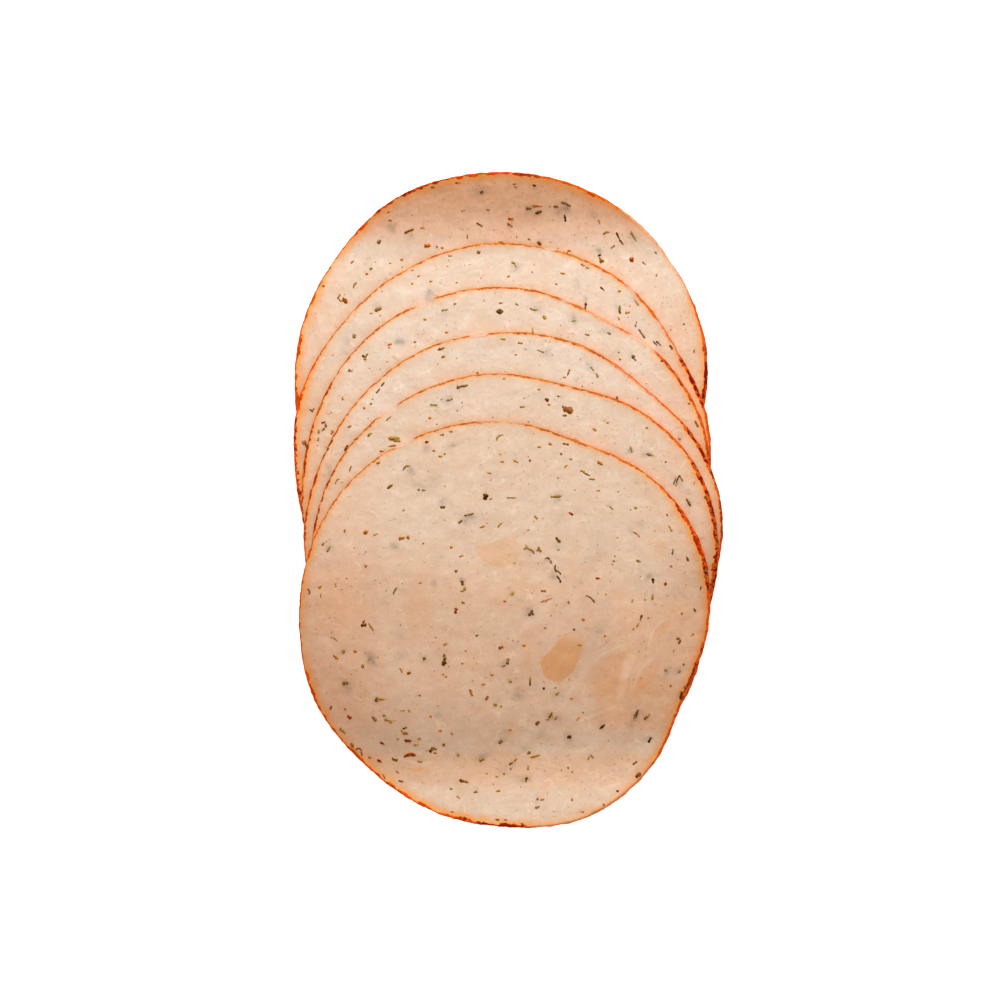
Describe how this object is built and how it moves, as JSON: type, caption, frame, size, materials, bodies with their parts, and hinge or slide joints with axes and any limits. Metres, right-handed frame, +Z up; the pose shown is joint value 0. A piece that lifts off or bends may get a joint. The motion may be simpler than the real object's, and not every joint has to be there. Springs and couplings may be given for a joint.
{
  "type": "sliced turkey pastrami",
  "caption": "Fan of thin round slices of cured, herbed turkey breast with a paprika-orange skin, overlapping in the order they were cut.",
  "frame": {"origin": "under the middle of the fan's box, on the surface that it lies on", "axes": "+Z up; +Y towards the back of the fan, where the lowest slice lies; +X to the right as seen from the front"},
  "size_m": [0.1099, 0.1674, 0.0111],
  "materials": {
    "turkey_meat": "moist cut face of cooked, cured turkey breast: pale peach, slightly translucent, with tan muscle pieces and an orange to dark red spiced skin round the edge",
    "dried_herb": "dull dark olive to brown dried leaf, wet through",
    "seed": "satin olive-yellow husk",
    "paprika": "satin orange-red flake",
    "pepper": "dull near-black grain"
  },
  "bodies": {
    "root": {"slice_1": "turkey_meat", "slice_2": "turkey_meat", "slice_3": "turkey_meat", "slice_4": "turkey_meat", "slice_5": "turkey_meat", "slice_6": "turkey_meat"}
  },
  "joints": []
}
